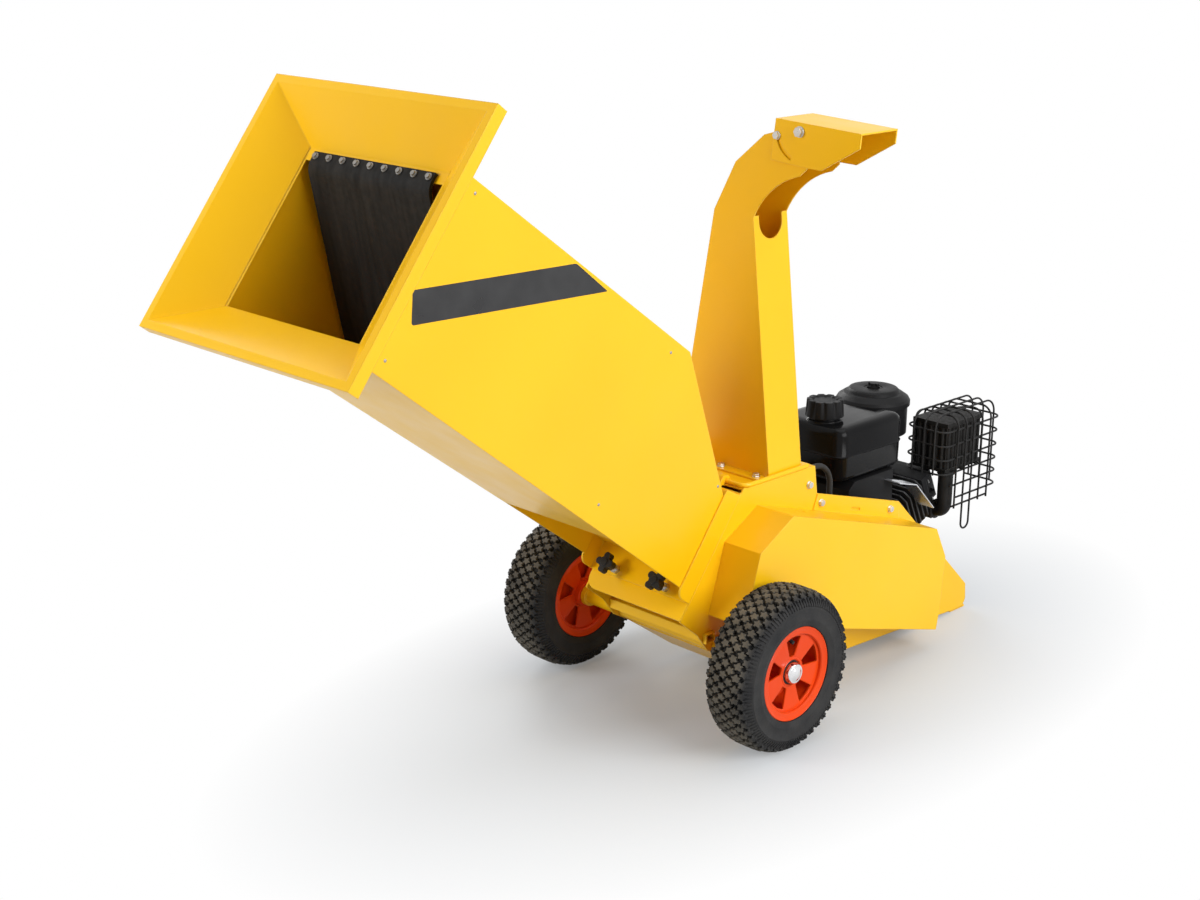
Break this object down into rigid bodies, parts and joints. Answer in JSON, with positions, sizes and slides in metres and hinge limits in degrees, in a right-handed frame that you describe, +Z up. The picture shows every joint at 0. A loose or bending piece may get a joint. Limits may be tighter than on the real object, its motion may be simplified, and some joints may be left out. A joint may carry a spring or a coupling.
{
  "type": "garden shredder",
  "caption": "Wheeled petrol garden shredder with a sloping feed hopper, rotor body, upright discharge chute with tilting deflector and a belt-driven engine.",
  "frame": {"origin": "on the ground under the middle of the axle, which is also the middle of the footprint box", "axes": "+X along the axle to the belt guard side, +Y to the engine end, +Z up"},
  "size_m": [0.536, 1.5673, 1.0256],
  "materials": {
    "yellow_paint": "semi-gloss powder coat",
    "black_rubber": "matt",
    "tyre_rubber": "matt",
    "red_plastic": "semi-gloss moulded",
    "black_plastic": "matt moulded",
    "gloss_black": "gloss moulded",
    "zinc_steel": "zinc plated",
    "bright_steel": "ground",
    "dark_steel": "machined",
    "black_paint": "black painted casting",
    "cast_aluminium": "cast, dark coated",
    "burnt_steel": "heat darkened sheet, filled with air",
    "chrome_plate": "bright"
  },
  "bodies": {
    "frame": {"side_plate_left": "yellow_paint", "side_plate_right": "yellow_paint", "inlet_frame": "yellow_paint", "top_plate": "yellow_paint", "rotor_shell": "yellow_paint", "belly_pan": "yellow_paint", "hanger_bar": "yellow_paint", "counter_knife": "bright_steel", "engine_bed": "yellow_paint", "rear_foot": "yellow_paint", "axle_beam": "yellow_paint", "axle_tube": "yellow_paint", "axle_shaft": "bright_steel", "hub_caps": "chrome_plate", "rotor_bearings": "dark_steel", "drive_belt": "black_rubber", "belt_guard": "yellow_paint", "guard_bolts": "zinc_steel", "discharge_chute": "yellow_paint", "chute_bolts": "zinc_steel", "deflector_bolts": "zinc_steel", "crankcase": "black_paint", "crank_cover": "black_paint", "finned_cylinder": "cast_aluminium", "cylinder_head": "cast_aluminium", "blower_housing": "black_plastic", "recoil_cover": "black_plastic", "engine_shroud": "black_paint", "fuel_tank": "gloss_black", "air_cleaner": "black_plastic", "air_cleaner_cover": "black_plastic", "muffler": "burnt_steel", "muffler_guard": "chrome_plate", "exhaust_pipe": "burnt_steel", "heat_shield": "chrome_plate", "engine_bolts": "zinc_steel", "control_hose": "black_rubber"},
    "hopper": {"hopper_duct": "yellow_paint", "hopper_mouth": "yellow_paint", "hopper_flange": "yellow_paint", "curtain_strip": "black_rubber", "curtain_screws": "zinc_steel"},
    "curtain": {"rubber_curtain": "black_rubber"},
    "knob_left": {"star_knob_left": "black_plastic", "clamp_stud_left": "zinc_steel"},
    "knob_right": {"star_knob_right": "black_plastic", "clamp_stud_right": "zinc_steel"},
    "wheel_left": {"tyre_left": "tyre_rubber", "rim_left": "red_plastic"},
    "wheel_right": {"tyre_right": "tyre_rubber", "rim_right": "red_plastic"},
    "rotor": {"rotor_shaft": "bright_steel", "rotor_drum": "dark_steel", "rotor_knives": "bright_steel", "rotor_pulley": "dark_steel"},
    "crank": {"crankshaft": "bright_steel", "engine_pulley": "dark_steel"},
    "deflector": {"deflector": "yellow_paint"},
    "fuel_cap": {"fuel_cap": "gloss_black"},
    "cleaner_knob": {"cleaner_knob": "black_plastic"}
  },
  "joints": [
    {"name": "left_wheel_spin", "type": "hinge", "parent": "frame", "child": "wheel_left", "pos_m": [-0.226, 0, 0.13], "axis": [1, 0, 0], "continuous": true},
    {"name": "right_wheel_spin", "type": "hinge", "parent": "frame", "child": "wheel_right", "pos_m": [0.226, 0, 0.13], "axis": [1, 0, 0], "continuous": true},
    {"name": "hopper_swing", "type": "hinge", "parent": "frame", "child": "hopper", "pos_m": [0, 0.05471, 0.378], "axis": [-1, 0, 0], "range_deg": [0, 25]},
    {"name": "curtain_swing", "type": "hinge", "parent": "hopper", "child": "curtain", "pos_m": [0, -0.58149, 0.91538], "axis": [1, 0, 0], "range_deg": [-3, 35], "stiffness_Nm_per_rad": 8, "springref_deg": 1.03},
    {"name": "left_knob_turn", "type": "hinge", "parent": "hopper", "child": "knob_left", "pos_m": [-0.054, -0.08418, 0.24081], "axis": [0, 0.797, -0.604], "continuous": true},
    {"name": "right_knob_turn", "type": "hinge", "parent": "hopper", "child": "knob_right", "pos_m": [0.054, -0.08418, 0.24081], "axis": [0, 0.797, -0.604], "continuous": true},
    {"name": "deflector_tilt", "type": "hinge", "parent": "frame", "child": "deflector", "pos_m": [0.137, 0.158, 0.923], "axis": [0, 1, 0], "range_deg": [0, 50]},
    {"name": "rotor_spin", "type": "hinge", "parent": "frame", "child": "rotor", "pos_m": [0, 0.09, 0.243], "axis": [1, 0, 0], "continuous": true},
    {"name": "crank_spin", "type": "hinge", "parent": "frame", "child": "crank", "pos_m": [0, 0.44476, 0.13791], "axis": [1, 0, 0], "continuous": true},
    {"name": "fuel_cap_turn", "type": "hinge", "parent": "frame", "child": "fuel_cap", "pos_m": [-0.01, 0.39, 0.41], "axis": [0, 0, 1], "range_deg": [0, 120]},
    {"name": "cleaner_knob_turn", "type": "hinge", "parent": "frame", "child": "cleaner_knob", "pos_m": [-0.047, 0.575, 0.41], "axis": [0, 0, 1], "continuous": true}
  ],
  "couplings": [
    {"joint": "crank_spin", "follows": "rotor_spin", "ratio": 1.5}
  ]
}
